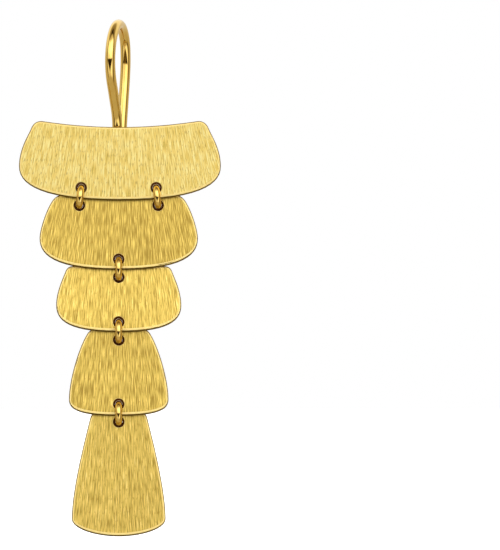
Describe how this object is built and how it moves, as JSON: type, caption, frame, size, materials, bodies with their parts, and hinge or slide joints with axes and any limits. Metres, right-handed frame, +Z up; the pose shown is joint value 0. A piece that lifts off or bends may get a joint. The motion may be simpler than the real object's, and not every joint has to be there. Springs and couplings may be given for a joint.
{
  "type": "chandelier earring",
  "caption": "Drop earring of flat brushed plates hung one below the other on jump rings, under a French hook for a pierced lobe.",
  "frame": {"origin": "inside of the bend of the ear wire, where it rests in the pierced lobe", "axes": "+Z up along the hanging earring, -Y is the front that shows when worn, X across the plates"},
  "size_m": [0.0198, 0.0081, 0.0509],
  "materials": {
    "brushed_gold": "brushed gold plating, strokes from top to bottom",
    "polished_gold": "polished gold plating"
  },
  "bodies": {
    "ear_wire_and_top_plate": {"top_plate_with_ear_wire": "brushed_gold"},
    "second_tier": {"jump_ring_left": "polished_gold", "jump_ring_right": "polished_gold", "second_plate": "brushed_gold"},
    "second_ring": {"second_jump_ring": "polished_gold"},
    "third_tier": {"third_plate": "brushed_gold"},
    "third_ring": {"third_jump_ring": "polished_gold"},
    "fourth_tier": {"fourth_plate": "brushed_gold"},
    "fourth_ring": {"fourth_jump_ring": "polished_gold"},
    "fifth_tier": {"fifth_plate": "brushed_gold"}
  },
  "joints": [
    {"name": "second_tier_swing", "type": "hinge", "parent": "ear_wire_and_top_plate", "child": "second_tier", "pos_m": [0, 0, -0.01642], "axis": [1, 0, 0], "range_deg": [-10, 12]},
    {"name": "third_tier_swing", "type": "hinge", "parent": "second_tier", "child": "second_ring", "pos_m": [0, 0, -0.02349], "axis": [1, 0, 0], "range_deg": [-17, 5]},
    {"name": "third_tier_sway", "type": "hinge", "parent": "second_ring", "child": "third_tier", "pos_m": [0, 0.00018, -0.02437], "axis": [0, 0.9967, -0.081], "range_deg": [-10, 10]},
    {"name": "fourth_tier_swing", "type": "hinge", "parent": "third_tier", "child": "third_ring", "pos_m": [0, 0, -0.02966], "axis": [1, 0, 0], "range_deg": [-17, 5]},
    {"name": "fourth_tier_sway", "type": "hinge", "parent": "third_ring", "child": "fourth_tier", "pos_m": [0, 0.0002, -0.03054], "axis": [0, 0.9981, -0.062], "range_deg": [-10, 10]},
    {"name": "fifth_tier_swing", "type": "hinge", "parent": "fourth_tier", "child": "fourth_ring", "pos_m": [0, 0, -0.03772], "axis": [1, 0, 0], "range_deg": [-17, 5]},
    {"name": "fifth_tier_sway", "type": "hinge", "parent": "fourth_ring", "child": "fifth_tier", "pos_m": [0, 0.00022, -0.03859], "axis": [0, 0.9994, -0.0357], "range_deg": [-10, 10]}
  ]
}
